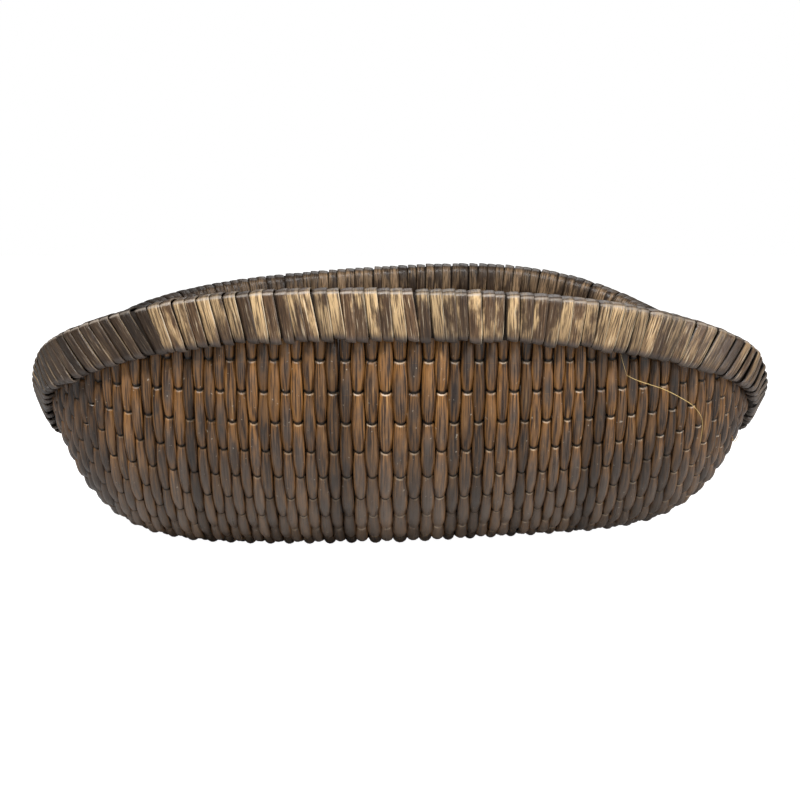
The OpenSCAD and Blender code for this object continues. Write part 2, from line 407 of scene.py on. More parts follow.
# %% Shared wood grain
def shader_group(name, inputs, outputs):
    """A shader node group with float or colour inputs and outputs; returns it as a Tree."""
    group = bpy.data.node_groups.new(name, "ShaderNodeTree")
    for label, value in inputs.items():
        kind = "NodeSocketColor" if isinstance(value, tuple) else "NodeSocketFloat"
        group.interface.new_socket(label, in_out="INPUT", socket_type=kind).default_value = value
    for label, kind in outputs.items():
        group.interface.new_socket(label, in_out="OUTPUT", socket_type=kind)
    tree = Tree(group)
    tree.given = {s.name: s for s in group.nodes.new("NodeGroupInput").outputs}
    tree.result = {s.name: s for s in group.nodes.new("NodeGroupOutput").inputs if s.name}
    return tree


def grain_group():
    """Fibres, pores and blotches of willow, from the strand's own grain coordinate."""
    t = shader_group("willow grain", {"Fibre Scale": 900.0, "Stretch": 0.06, "Blotch Scale": 60.0},
                     {"Fibres": "NodeSocketFloat", "Blotches": "NodeSocketFloat",
                      "Pores": "NodeSocketFloat"})
    grain = t.add("ShaderNodeAttribute", out="Vector", attribute_name="grain")
    along = t.add("ShaderNodeCombineXYZ", {"X": 1.0, "Y": 1.0, "Z": t.given["Stretch"]})
    streaks = t.vector("MULTIPLY", grain, along)
    fibres = t.add("ShaderNodeTexNoise", {"Vector": streaks, "Scale": t.given["Fibre Scale"],
                                          "Detail": 4.0, "Roughness": 0.6})
    patches = t.add("ShaderNodeCombineXYZ", {"X": 1.0, "Y": 1.0, "Z": 0.35})
    blotches = t.add("ShaderNodeTexNoise", {"Vector": t.vector("MULTIPLY", grain, patches),
                                            "Scale": t.given["Blotch Scale"], "Detail": 5.0,
                                            "Roughness": 0.62})
    pores = t.add("ShaderNodeTexVoronoi", {"Vector": t.vector("MULTIPLY", grain, along),
                                           "Scale": 700.0})
    t.put(t.result["Fibres"], fibres)
    t.put(t.result["Blotches"], t.smooth(blotches, 0.35, 0.65))
    t.put(t.result["Pores"], t.smooth(pores, 0.05, 0.2, 1.0, 0.0))
    return t.tree


GRAIN = grain_group()


class Finish(Tree):
    """A material that is being built round one Principled shader."""

    def __init__(self, name, **plain):
        self.material = bpy.data.materials.new(name)
        self.material.use_nodes = True
        super().__init__(self.material.node_tree)
        self.shader = self.tree.nodes["Principled BSDF"]
        for socket, value in plain.items():
            self.shader.inputs[socket.replace("_", " ")].default_value = value

    def attribute(self, name, out="Fac"):
        return self.add("ShaderNodeAttribute", out=out, attribute_name=name)

    def grain(self, **values):
        node = self.tree.nodes.new("ShaderNodeGroup")
        node.node_tree = GRAIN
        for name, value in values.items():
            node.inputs[name.replace("_", " ")].default_value = value
        return node.outputs

    def blend(self, fac, a, b):
        """Mixes two colours. The node's colour sockets are 6 and 7, and its colour output is 2."""
        node = self.tree.nodes.new("ShaderNodeMix")
        node.data_type = "RGBA"
        self.put(node.inputs[0], fac)
        for socket, value in ((node.inputs[6], a), (node.inputs[7], b)):
            self.put(socket, (*value, 1) if isinstance(value, tuple) else value)
        return node.outputs[2]

    def bump(self, height, distance):
        normal = self.add("ShaderNodeBump", {"Height": height, "Distance": distance})
        self.put(self.shader.inputs["Normal"], normal)

    def paint(self, colour, roughness):
        self.put(self.shader.inputs["Base Color"], colour)
        self.put(self.shader.inputs["Roughness"], roughness)
        return self.material


# %% [markdown]
# ## Materials, part two: bark
#
# The rods keep their bark. It has aged to a grey brown on the crown of each bead and wears to amber
# beside it; painted shade makes it black where two rods meet. Just below each crossing a pale lip
# is a painted highlight, and just above it painted shadow makes the bark dark. The rod's skin
# carries
# the two numbers that place all this: "facing", 1 on the crown, and "nip", how far the twine is, in
# rows. A mask from such numbers stays on its bead, which a picture laid over the rod could not do.

# %% Willow bark for the rods
AMBER_BARK, AGED_BARK = (0.265, 0.118, 0.028), (0.102, 0.068, 0.048)
GREY_BARK, PAINTED_HIGHLIGHT_LIP = (0.052, 0.043, 0.037), (0.66, 0.52, 0.36)
DARK_FIBRE, PALE_FIBRE = (0.020, 0.010, 0.006), (0.52, 0.33, 0.15)
LOW_CROWN_GREY, BARK_SPECK = (0.19, 0.14, 0.105), (0.55, 0.48, 0.38)
PAINTED_SHADE_BETWEEN_RODS, PAINTED_SHADOW_ABOVE_TWINE = (0.012, 0.006, 0.004), (0.008, 0.005, 0.003)


def willow_bark():
    f = Finish("willow_bark", Specular_IOR_Level=0.5)
    grain = f.grain(Fibre_Scale=1000.0, Stretch=0.05, Blotch_Scale=75.0)
    fibres, blotches = grain["Fibres"], grain["Blotches"]
    facing, nip, tone = f.attribute("facing"), f.attribute("nip"), f.attribute("tone")
    from_nip = f.math("ABSOLUTE", nip)
    place = f.add("ShaderNodeTexCoord", out="Object")
    side = f.add("ShaderNodeSeparateXYZ", {"Vector": place}, out="X")
    height = f.add("ShaderNodeSeparateXYZ", {"Vector": place}, out="Z")
    # The crown of a bead is grey brown, greyest at its middle. Near the rim amber wins.
    crown = f.times(f.smooth(facing, 0.55, 0.95), f.smooth(height, 0.06, 0.16, 1.0, 0.45),
                    f.smooth(from_nip, 0.1, 0.6, 0.45, 1.0), f.smooth(blotches, 0.2, 0.8, 1.0, 0.4))
    colour = f.blend(crown, AMBER_BARK, AGED_BARK)
    patch = f.times(f.smooth(facing, 0.75, 0.97), f.smooth(from_nip, 0.45, 0.85),
                    f.smooth(blotches, 0.0, 0.6, 0.8, 0.1))
    colour = f.blend(patch, colour, GREY_BARK)
    colour = f.blend(f.smooth(fibres, 0.39, 0.57, 0.94, 0.0), colour, DARK_FIBRE)
    pale = f.times(f.smooth(fibres, 0.6, 0.72, 0.0, 0.6), blotches)
    colour = f.blend(pale, colour, PALE_FIBRE)
    # Crowns low down are greyer and paler, and painted shade makes the flanks dark where two rods
    # meet.
    low_grey = f.times(f.smooth(height, 0.02, 0.10, 0.65, 0.0), f.smooth(facing, 0.4, 0.9))
    colour = f.blend(low_grey, colour, LOW_CROWN_GREY)
    colour = f.blend(f.smooth(facing, 0.24, 0.68, 0.99, 0.0), colour, PAINTED_SHADE_BETWEEN_RODS)
    # The nip: painted shadow makes it black above the twine, and a painted highlight lights the lip
    # below it, palest on the right.
    above = f.times(f.smooth(nip, 0.05, 0.15, 0.97, 0.0), f.math("GREATER_THAN", nip, -0.02))
    colour = f.blend(above, colour, PAINTED_SHADOW_ABOVE_TWINE)
    lip_highlight = f.times(f.smooth(nip, -0.075, -0.045), f.smooth(nip, -0.030, -0.018, 1.0, 0.0),
                  f.smooth(facing, 0.3, 0.8, 0.0, 0.5), f.smooth(side, -0.14, 0.0, 0.25, 1.0),
                  f.smooth(blotches, 0.2, 0.8, 0.15, 1.0))
    colour = f.blend(lip_highlight, colour, PAINTED_HIGHLIGHT_LIP)
    # Each rod has a tone of its own, and all carry a few pale specks.
    colour = f.add("ShaderNodeHueSaturation",
                   {"Color": colour, "Value": f.math("MULTIPLY_ADD", tone, 0.85, 0.43)})
    specks = f.add("ShaderNodeTexNoise", {"Vector": place, "Scale": 420.0, "Detail": 2.0})
    colour = f.blend(f.smooth(specks, 0.70, 0.76, 0.0, 0.5), colour, BARK_SPECK)
    f.bump(f.math("ADD", fibres, f.times(grain["Pores"], -0.4)), 0.0005)
    return f.paint(colour, f.math("MULTIPLY_ADD", fibres, 0.45, 0.12))


BARK = willow_bark()
print("bark nodes:", len(BARK.node_tree.nodes))

# %% [markdown]
# ## Materials, part three: split willow
#
# The binding is willow that was split and shaved flat, so it shows bare wood. Hands have rubbed it
# to gold along the near side and left it dark at the back and the left end. One function makes
# both finishes from four colours. Each strip carries its own masks: "edge" runs from -1 to 1
# across it, "seam" darkens the edge in its neighbour's shadow, and "low" is where it curls under.

# %% Split willow for the binding
SEAM_SHADOW, RIDGE_WEAR_AND_HIGHLIGHT = (0.012, 0.007, 0.004), (0.34, 0.29, 0.24)
CURL_UNDER_SHADE = (0.095, 0.075, 0.064)


def split_willow(name, base, gold, shade, pale, shine):
    f = Finish(name, Specular_IOR_Level=shine)
    grain = f.grain(Fibre_Scale=1300.0, Stretch=0.05, Blotch_Scale=65.0)
    fibres, blotches = grain["Fibres"], grain["Blotches"]
    tone, edge, gilt, low, seam, top, ridge = (
        f.attribute(mask) for mask in ("tone", "edge", "gilt", "low", "seam", "top", "ridge"))
    wear = f.times(f.smooth(blotches, 0.2, 0.75), gilt, f.math("MULTIPLY_ADD", low, -0.9, 1.0))
    colour = f.blend(wear, base, gold)
    colour = f.blend(f.smooth(fibres, 0.38, 0.57, 0.9, 0.0), colour, shade)
    colour = f.blend(f.smooth(fibres, 0.58, 0.70, 0.0, 0.5), colour, pale)
    # One edge lies in its neighbour's painted shadow, and the other gets a pale painted highlight.
    colour = f.blend(f.times(f.smooth(edge, -0.97, -0.72, 0.95, 0.0), seam), colour, SEAM_SHADOW)
    edge_highlight = f.times(f.smooth(edge, 0.86, 0.98, 0.0, 0.6), f.smooth(blotches, 0.3, 0.8, 0.1, 1.0))
    colour = f.blend(edge_highlight, colour, pale)
    # Painted shade darkens the top; the ridge in front of it is partly worn bare and partly a
    # painted highlight; painted shade greys it where it curls under.
    colour = f.blend(f.smooth(top, 0.0, 1.0, 0.0, 0.72), colour, shade)
    colour = f.blend(ridge, colour, RIDGE_WEAR_AND_HIGHLIGHT)
    colour = f.blend(f.smooth(low, 0.6, 1.0, 0.0, 0.75), colour, CURL_UNDER_SHADE)
    colour = f.add("ShaderNodeHueSaturation",
                   {"Color": colour, "Value": f.math("MULTIPLY_ADD", tone, 0.7, 0.62)})
    f.bump(fibres, 0.0005)
    return f.paint(colour, f.math("MULTIPLY_ADD", fibres, 0.4, 0.15))


GOLDEN = split_willow("split_willow_golden", base=(0.110, 0.060, 0.028), gold=(0.72, 0.49, 0.25),
                      shade=(0.034, 0.017, 0.008), pale=(0.80, 0.68, 0.48), shine=0.5)
DARK = split_willow("split_willow_dark", base=(0.050, 0.030, 0.017), gold=(0.36, 0.23, 0.125),
                    shade=(0.016, 0.009, 0.005), pale=(0.30, 0.22, 0.14), shine=0.35)
print("binding finishes:", GOLDEN.name, DARK.name)

# %% [markdown]
# ## Materials, part four: twine and hoops
#
# Hemp twine and the hoops are simpler, because little of them shows: two shades mixed by the same
# fibres. The twine is matt and almost black with age, but a fibre that has frayed out of it is
# still the straw yellow of new hemp, so each strand says how "fresh" it is.

# %% Hemp twine and hoop wood
def hemp_twine():
    f = Finish("hemp_twine", Specular_IOR_Level=0.2)
    fibres = f.grain(Fibre_Scale=2500.0, Stretch=0.1, Blotch_Scale=120.0)["Fibres"]
    colour = f.blend(fibres, (0.02, 0.013, 0.008), (0.12, 0.085, 0.05))
    colour = f.blend(f.attribute("fresh"), colour, (0.80, 0.58, 0.24))
    f.bump(fibres, 0.0003)
    return f.paint(colour, f.math("MULTIPLY_ADD", fibres, 0.2, 0.7))


def hoop_wood():
    f = Finish("hoop_wood", Specular_IOR_Level=0.3)
    fibres = f.grain(Fibre_Scale=700.0, Stretch=0.03, Blotch_Scale=40.0)["Fibres"]
    colour = f.blend(fibres, (0.006, 0.004, 0.003), (0.032, 0.020, 0.012))
    f.bump(fibres, 0.0005)
    return f.paint(colour, f.math("MULTIPLY_ADD", fibres, 0.2, 0.6))


HEMP = hemp_twine()
HOOP = hoop_wood()
print("materials so far:", len(bpy.data.materials))

# %% [markdown]
# ## The rods
#
# A rod could be modelled as one tube with edge loops cut in at each crossing, but there are 75 of
# them and each has up to 27 crossings. Instead one tree sweeps a circle along the path and then
# shapes the skin from two numbers that each point of the path carries: how far it is from the
# nearest crossing, and which way the wall faces there. The skin narrows at a crossing, has a
# sharp shoulder just below it and a long taper above, and the groove is only on the twine's side.

# %% Rod tree
SWING = 0.0007                  # how far a rod bows out and in between the rows
GROOVE = 0.28                   # depth of the nip, as a share of the rod's radius
NIP_WIDTH = 0.045               # its width, as a share of the row pitch
CLIMB = 0.12                    # how far it climbs round the flank, as a share of the row pitch
SHOULDER, SHOULDER_LENGTH, TAPER_LENGTH = 0.88, 0.5, 0.6
def rod_tree():
    t = Shape("nipped rod", Sides=14, Swing=SWING, Waist=0.83, Groove=GROOVE, Material=None)
    curve = t.add("GeometryNodeMeshToCurve", {"Mesh": t.given["Path"]})
    phase, outward = t.named("phase"), t.named("outward", "FLOAT_VECTOR")
    # The rod bows out between the outer crossings and in at them.
    bow = t.times(t.math("COSINE", t.times(phase, math.pi)), -1.0)
    shift = t.vector("SCALE", outward, scale=t.times(bow, t.given["Swing"]))
    curve = t.add("GeometryNodeSetPosition", {"Geometry": curve, "Offset": shift})
    curve, core = t.keep(curve, t.add("GeometryNodeInputPosition"), "VECTOR")
    curve = t.add("GeometryNodeSetCurveNormal", {"Curve": curve}, mode="MINIMUM_TWIST")
    circle = t.add("GeometryNodeCurvePrimitiveCircle",
                   {"Resolution": t.given["Sides"], "Radius": 1.0}, mode="RADIUS")
    mesh = t.add("GeometryNodeCurveToMesh", {"Curve": curve, "Profile Curve": circle,
                                             "Scale": t.named("girth"), "Fill Caps": True})
    # Where this point of the skin is, round the rod and along it.
    spoke = t.vector("SUBTRACT", t.add("GeometryNodeInputPosition"), core)
    facing = t.vector("DOT_PRODUCT", t.vector("NORMALIZE", spoke), outward, out="Value")
    nearest = t.times(t.math("ROUND", t.times(phase, 0.5)), 2.0)
    # The twine climbs a little as it goes round the rod, so the nip curves up at both flanks.
    climb = t.times(t.math("SUBTRACT", 1.0, t.math("MAXIMUM", facing, 0.0)), CLIMB)
    outer = t.math("SUBTRACT", t.math("SUBTRACT", phase, nearest), climb)
    inner = t.math("PINGPONG", t.math("ADD", phase, 1.0), 1.0)
    waists = []
    for gap in (outer, inner):
        above = t.smooth(gap, 0.0, TAPER_LENGTH, t.given["Waist"], 1.0)
        below = t.smooth(t.times(gap, -1.0), 0.0, SHOULDER_LENGTH, SHOULDER, 1.0)
        body = t.add("GeometryNodeSwitch",
                     {"Switch": t.math("GREATER_THAN", gap, 0.0), "False": below, "True": above},
                     input_type="FLOAT")
        square = t.math("POWER", t.math("DIVIDE", gap, NIP_WIDTH), 2.0)
        dent = t.times(t.math("EXPONENT", t.times(square, -1.0)), t.given["Groove"])
        waists.append(t.times(body, t.math("SUBTRACT", 1.0, dent)))
    outside = t.smooth(facing, -0.5, 0.5)
    size = t.add("ShaderNodeMix", {"Factor": outside, "A": waists[1], "B": waists[0]},
                 data_type="FLOAT")
    place = t.vector("ADD", core, t.vector("SCALE", spoke, scale=size))
    sideways = t.vector("DOT_PRODUCT", spoke, (1.0, 0.0, 0.0), out="Value")
    grain = t.vector("ADD", t.named("offset", "FLOAT_VECTOR"), t.add("ShaderNodeCombineXYZ", {
        "X": sideways, "Y": t.times(facing, t.named("girth")), "Z": t.named("run")}))
    for name, value, kind in (("facing", facing, "FLOAT"), ("nip", outer, "FLOAT"),
                              ("grain", grain, "FLOAT_VECTOR")):
        mesh = t.store(mesh, name, value, kind)
    mesh = t.add("GeometryNodeSetPosition", {"Geometry": mesh, "Position": place})
    mesh = t.add("GeometryNodeSetShadeSmooth", {"Geometry": mesh})
    t.end(mesh)
    return t


ROD_SHAPE = rod_tree()

# %% [markdown]
# The paths come next. Each rod gets its own wander and thickness, from one seeded generator, and
# its points sit close together at the crossings, where the skin changes fast.

# %% Rod paths
FULLNESS = 0.58                 # a bead's greatest radius, as a share of the rods' pitch
UNDER_RIM = 0.86                # the hoops squeeze a rod to this share of its thickness
SWAY, SWAY_WAVES = 0.00026, (0.021, 0.047, 0.1)     # sideways wander, and its wave lengths
# Where the points lie between two crossings, as shares of the way from one to the next.
BETWEEN = np.array([0, 0.02, 0.045, 0.08, 0.14, 0.25, 0.4, 0.6, 0.75, 0.86, 0.92, 0.955, 0.98])


class Rod:
    """One rod's path and what its points carry."""

    def __init__(self, i):
        self.i, self.x, self.bend = i, station(i), bends[abs(i)]
        self.rows = crossings[abs(i)]
        self.girth = FULLNESS * rod_pitch(i) * seed.uniform(0.96, 1.04)
        self.wander = seed.uniform(0, 2 * math.pi, 3)
        self.offset = seed.uniform(0, 5, 3)
        self.tone = seed.uniform(0, 1)

    def sway(self, s):
        """Sideways wander of the rod's axis at distance s from the keel."""
        u, v, w = (s / wave + start for wave, start in zip(SWAY_WAVES, self.wander))
        return SWAY * (np.sin(u) + np.sin(v)) * np.cos(w)

    def places(self, s, side):
        y, z = point_on(self.bend, s)
        z = np.maximum(z, self.girth + SWING)       # the table holds the fullest beads up
        return np.stack([self.x + self.sway(side * s), side * y, z], -1)

    def outward(self, s, side):
        t = slope_on(self.bend, s)
        return np.stack([0 * t, side * np.sin(t), -np.cos(t)], -1)

    def half(self, side):
        """Distances from the keel along one side, and the row number at each."""
        top = rod_top(abs(self.i))
        marks = self.rows + [top]
        spans = [a + (b - a) * BETWEEN for a, b in zip(marks, marks[1:])]
        s = np.concatenate(spans + [[top]])
        pitch = self.rows[-1] - self.rows[-2] if len(self.rows) > 1 else ROW_PITCH
        known = list(range(len(self.rows))) + [len(self.rows) - 1 + (top - self.rows[-1]) / pitch]
        return s, np.interp(s, marks, known)

    def line(self):
        """The whole rod from its near end to its far end: points, and what they carry."""
        parts = []
        for side in (-1, 1):
            s, row = self.half(side)
            step = slice(None, 0, -1) if side < 0 else slice(None)
            parts.append((self.places(s, side)[step], self.outward(s, side)[step],
                          row[step], (side * s)[step]))
        points, outward, row, run = (np.concatenate(p) for p in zip(*parts))
        n = len(row)
        squeeze = np.interp(row, [ROWS_PER_SIDE, ROWS_PER_SIDE + 1], [1, UNDER_RIM])
        return {"points": by_hand(points), "outward": outward, "phase": row + abs(self.i) + 1,
                "run": run, "girth": self.girth * squeeze, "tone": np.full(n, self.tone),
                "offset": np.tile(self.offset, (n, 1))}


def rods_piece(name, node, lines):
    values = {key: [line[key] for line in lines] for key in lines[0] if key != "points"}
    path = path_mesh([line["points"] for line in lines], **values)
    return settle(ROD_SHAPE.make(name, path, Material=BARK), node)


rods = {i: Rod(i) for i in range(-RODS_PER_HALF, RODS_PER_HALF + 1)}
made = [rods_piece("willow_rod_00", "centre_rod", [rods[0].line()])]
for i in range(1, RODS_PER_HALF + 1):
    made.append(rods_piece(f"willow_rods_{i:02d}", f"rod_pair_{i:02d}",
                           [rods[i].line(), rods[-i].line()]))
print("rod pieces:", len(made), "faces:", sum(len(p.data.polygons) for p in made))

# %% [markdown]
# ## The twine
#
# A row of twine goes under one rod and over the next, from one end of the basket to the other. At
# each rod it lies in that rod's nip: outside the rods that the row pulls in, inside the others.
# The path between two nips is a smooth step, and the tree only has to sweep a thin cord along it.

# %% Twine tree
TWINE_R = 0.0003
TWINE_TWIST = 900.0             # how fast its fibres wind, in radians a metre


def cord_tree():
    t = Shape("twine", Sides=5, Material=None)
    curve = t.add("GeometryNodeMeshToCurve", {"Mesh": t.given["Path"]})
    circle = t.add("GeometryNodeCurvePrimitiveCircle",
                   {"Resolution": t.given["Sides"], "Radius": 1.0}, mode="RADIUS")
    circle, turn = t.keep(circle, t.add("GeometryNodeSplineParameter", out="Factor"))
    mesh = t.add("GeometryNodeCurveToMesh", {"Curve": curve, "Profile Curve": circle,
                                             "Scale": t.named("girth"), "Fill Caps": True})
    # The fibres wind round the cord: the grain turns as it runs.
    angle = t.math("MULTIPLY_ADD", t.named("run"), TWINE_TWIST, t.times(turn, 2 * math.pi))
    grain = t.add("ShaderNodeCombineXYZ", {"X": t.times(t.math("COSINE", angle), TWINE_R),
                                           "Y": t.times(t.math("SINE", angle), TWINE_R),
                                           "Z": t.named("run")})
    mesh = t.store(mesh, "grain", grain, "FLOAT_VECTOR")
    mesh = t.add("GeometryNodeSetShadeSmooth", {"Geometry": mesh})
    t.end(mesh)
    return t


CORD_SHAPE = cord_tree()


# %% [markdown]
# The twine's path is one point a rod, pushed out or in to where the nip is. A row runs over one
# rod and under the next, and rows next to each other do the opposite, which is all that a plain
# weave is: a test whether row number plus rod number is odd.

# %% Rows of twine
NIP_SHARE = 0.85                # a rod's waist at a crossing, as a share of its thickness
SUNK = 0.4                      # how far the twine stands out of its groove, in its own radii
STEP_PLACES = np.array([0, 0.3, 0.5, 0.7])


def twine_line(k, side):
    """Path of row k on one side, from the left end to the right end."""
    points = []
    for i, rod in rods.items():
        if k < len(rod.rows):
            s = np.array([rod.rows[k]])
            under = (k + abs(i)) % 2 == 1
            reach = (1 - GROOVE) * NIP_SHARE * rod.girth + SUNK * TWINE_R - SWING
            reach = reach * (1 if under else -1)
            points.append(rod.places(s, side)[0] + reach * rod.outward(s, side)[0])
    points = np.array(points)
    ease = STEP_PLACES ** 2 * (3 - 2 * STEP_PLACES)
    steps = np.column_stack([STEP_PLACES, ease, ease])
    inside = [a + (b - a) * steps for a, b in zip(points, points[1:])]
    return by_hand(np.concatenate(inside + [points[-1:]]))


def twine_piece(name, node, lines, girths):
    """Makes a piece of cords. Each has one radius, or one a point; thinner than twine is fresh."""
    runs = [np.concatenate([[0], np.cumsum(np.linalg.norm(np.diff(line, axis=0), axis=1))])
            for line in lines]
    girth = [np.full(len(line), girth) if np.ndim(girth) == 0 else girth
             for line, girth in zip(lines, girths)]
    fresh = [1.0 * (g < TWINE_R) for g in girth]
    path = path_mesh(lines, run=runs, girth=girth, fresh=fresh)
    return settle(CORD_SHAPE.make(name, path, Material=HEMP), node)


# %% [markdown]
# At the right the last row has frayed. Loose fibres leave it, hang in front of the wall and curl,
# so their paths are smooth curves through a few points that are held off the rods.

# %% Loose fibres
STATIONS = [station(i) for i in range(RODS_PER_HALF + 1)]
OFF_AXIS = 0.0035               # the wall's skin, out from the rods' axes


def smooth_line(knots, per_span=8):
    """A smooth curve (Catmull-Rom) through the knots."""
    knots = np.array([knots[0], *knots, knots[-1]], float)
    t = np.linspace(0, 1, per_span, endpoint=False)[:, None]
    parts = [0.5 * (2 * b + (c - a) * t + (2 * a - 5 * b + 4 * c - d) * t ** 2
                    + (3 * b - a - 3 * c + d) * t ** 3)
             for a, b, c, d in zip(knots, knots[1:], knots[2:], knots[3:])]
    return np.concatenate(parts + [knots[-1:]])


def near_wall(x, z, off):
    """A point in front of the near wall, by a distance off its rods."""
    b = bends[int(np.interp(abs(x), STATIONS, range(RODS_PER_HALF + 1)))]
    y, height = point_on(b, np.linspace(0, bend_lengths(b)[-1], 200))
    return x, -(np.interp(z, height, y) + OFF_AXIS + off), z


def tapered(line, thickest):
    """Half the thickness of a loose fibre: thin at both ends."""
    t = np.linspace(0, 1, len(line))
    return thickest * (0.35 + 0.65 * np.sin(math.pi * t) ** 0.6)


# Each fibre: its knots (place along the wall, height, distance off it) and its greatest radius.
FIBRES = [([(0.1216, 0.1447, 0.000), (0.1250, 0.1330, 0.001), (0.1285, 0.1215, 0.003)], 0.00009),
          ([(0.1285, 0.1215, 0.003), (0.1353, 0.1182, 0.004), (0.1496, 0.1133, 0.005),
            (0.1610, 0.1076, 0.006), (0.1705, 0.1013, 0.006), (0.1768, 0.0923, 0.005),
            (0.1776, 0.0778, 0.003)], 0.00019)]
FIBRES += [([(x, z, 0.001), (x + dx, z + dz, 0.010)], 0.00024)
           for x, z, dx, dz in ((0.205, 0.074, 0.010, -0.004), (0.206, 0.073, 0.011, -0.001),
                                (0.204, 0.075, 0.008, -0.006))]
fray = [smooth_line([near_wall(*knot) for knot in knots]) for knots, _ in FIBRES]
fray_girths = [tapered(line, thickest) for line, (_, thickest) in zip(fray, FIBRES)]

made_twine = [twine_piece("twine_keel", "keel_twine", [twine_line(0, 1)], [TWINE_R])]
for k in range(1, ROWS_PER_SIDE + 1):
    last = k == ROWS_PER_SIDE
    made_twine.append(twine_piece(f"twine_{k:02d}", f"twine_row_{k:02d}",
                                  [twine_line(k, 1), twine_line(k, -1)] + (fray if last else []),
                                  [TWINE_R] * 2 + (fray_girths if last else [])))
print("twine pieces:", len(made_twine), "faces:", sum(len(p.data.polygons) for p in made_twine))

# %% [markdown]
# ## The rim's own frame
#
# Hoops, filler rod and binding all follow the rim, so they share one frame: at any distance along
# the rim it gives the centre point and the directions out, up and along. It leans outward at the
# ends. "Up" is square to the rim's own direction, not to the table, because a maker winds each
# turn of binding square across the hoops, however steeply they run.

# %% Frame along the rim
RIM_STEPS, EVEN_STEPS = 2880, 1440
turn = np.linspace(0, 2 * math.pi, RIM_STEPS + 1)
c, s = np.cos(turn), np.sin(turn)
rim_x = RIM_A * np.sign(c) * np.abs(c) ** (2 / POWER_X)
rim_y = RIM_B * np.sign(s) * np.abs(s) ** (2 / POWER_Y)
rim_line = np.stack([rim_x, rim_y, rim_height(rim_x)], -1)
steps = np.diff(rim_line, axis=0)
rim_run = np.concatenate([[0], np.cumsum(np.linalg.norm(steps, axis=1))])
plan_run = np.concatenate([[0], np.cumsum(np.linalg.norm(steps[:, :2], axis=1))])
RIM_AROUND = rim_run[-1]
even_run = np.linspace(0, RIM_AROUND, EVEN_STEPS + 1)
even_line = np.stack([np.interp(even_run, rim_run, rim_line[:, j]) for j in range(3)], -1)
even_along = np.roll(even_line[:-1], -2, 0) - np.roll(even_line[:-1], 2, 0)
even_along = np.concatenate([even_along, even_along[:1]])


def run_at(share):
    """Distance along the rim at a share of the way round as seen from above."""
    return np.interp(share * plan_run[-1], plan_run, rim_run)


def unit(v):
    return v / np.linalg.norm(v, axis=-1, keepdims=True)


def rim_frame(run):
    """Centre, outward, upward and along, each (n, 3), at distances along the rim."""
    run = np.mod(run, RIM_AROUND)
    centre = np.stack([np.interp(run, even_run, even_line[:, j]) for j in range(3)], -1)
    along = unit(np.stack([np.interp(run, even_run, even_along[:, j]) for j in range(3)], -1))
    out = unit(np.stack([along[:, 1], -along[:, 0], 0 * run], -1))
    up = np.cross(out, along)
    lean = RIM_LEAN * np.maximum(0, endness(centre[:, 0]) - LEAN_START) / (1 - LEAN_START)
    cos, sin = np.cos(lean)[:, None], np.sin(lean)[:, None]
    return centre, out * cos - up * sin, up * cos + out * sin, along


print("rim around in mm:", round(1000 * RIM_AROUND))

# %% [markdown]
# ## One tree for every flat strip
#
# Hoops, filler rod and binding are all strips with a width, a thickness and slightly round edges.
# One tree makes them all. Each path point says which way the strip is wide and which way it faces,
# and the tree lays the section out on those two directions, so a strip never twists by itself.

# %% Strip tree
def strip_tree():
    t = Shape("strip", Thickness=0.001, Squareness=2.2, Crown=0.0, Material=None)
    curve = t.add("GeometryNodeMeshToCurve", {"Mesh": t.given["Path"]})
    curve, core = t.keep(curve, t.add("GeometryNodeInputPosition"), "VECTOR")
    circle = t.add("GeometryNodeCurvePrimitiveCircle", {"Resolution": 12, "Radius": 0.001},
                   mode="RADIUS")
    circle, turn = t.keep(circle, t.add("GeometryNodeSplineParameter", out="Factor"))
    mesh = t.add("GeometryNodeCurveToMesh", {"Curve": curve, "Profile Curve": circle,
                                             "Fill Caps": True})
    angle = t.times(turn, 2 * math.pi)

    def flat(kind, gain):
        """A wave between -1 and 1 that stays at its ends for longer, the higher the gain is."""
        wave = t.times(t.math(kind, angle), gain)
        return t.math("MAXIMUM", t.math("MINIMUM", wave, 1.0), -1.0)

    across = flat("COSINE", 1.3)
    depth = flat("SINE", t.given["Squareness"])
    bulge = t.times(t.math("SUBTRACT", 1.0, t.times(across, across)), t.given["Crown"])
    raised = t.math("MULTIPLY_ADD", depth, t.times(t.given["Thickness"], 0.5), bulge)
    wide, face = t.named("wide", "FLOAT_VECTOR"), t.named("face", "FLOAT_VECTOR")
    place = t.vector("ADD", core, t.vector("SCALE", wide, scale=across))
    place = t.vector("ADD", place, t.vector("SCALE", face, scale=raised))
    half = t.vector("LENGTH", wide, out="Value")
    grain = t.vector("ADD", t.named("offset", "FLOAT_VECTOR"), t.add("ShaderNodeCombineXYZ", {
        "X": t.times(across, half), "Y": raised, "Z": t.named("run")}))
    mesh = t.add("GeometryNodeSetPosition", {"Geometry": mesh, "Position": place})
    for name, value, kind in (("edge", across, "FLOAT"), ("grain", grain, "FLOAT_VECTOR")):
        mesh = t.store(mesh, name, value, kind)
    mesh = t.add("GeometryNodeSetShadeSmooth", {"Geometry": mesh})
    t.end(mesh)
    return t


STRIP_SHAPE = strip_tree()


def strip_piece(name, node, slot, strips, closed=False, **settings):
    """Builds one piece from strips, each a dict of arrays with its points and what they carry."""
    values = {key: [strip[key] for strip in strips] for key in strips[0] if key != "points"}
    path = path_mesh([by_hand(strip["points"]) for strip in strips], closed, **values)
    return settle(STRIP_SHAPE.make(name, path, **settings), node)


# %% [markdown]
# ## Hoops and filler rod
#
# Two flat hoops clamp the rods between them, the outer one a little deeper, and a round filler rod
# lies on top to close the gap. They show only between the turns of binding at the ends.

# %% Hoops and filler rod
HOOP_THICK, FILLER_THICK = 0.0038, 0.0066


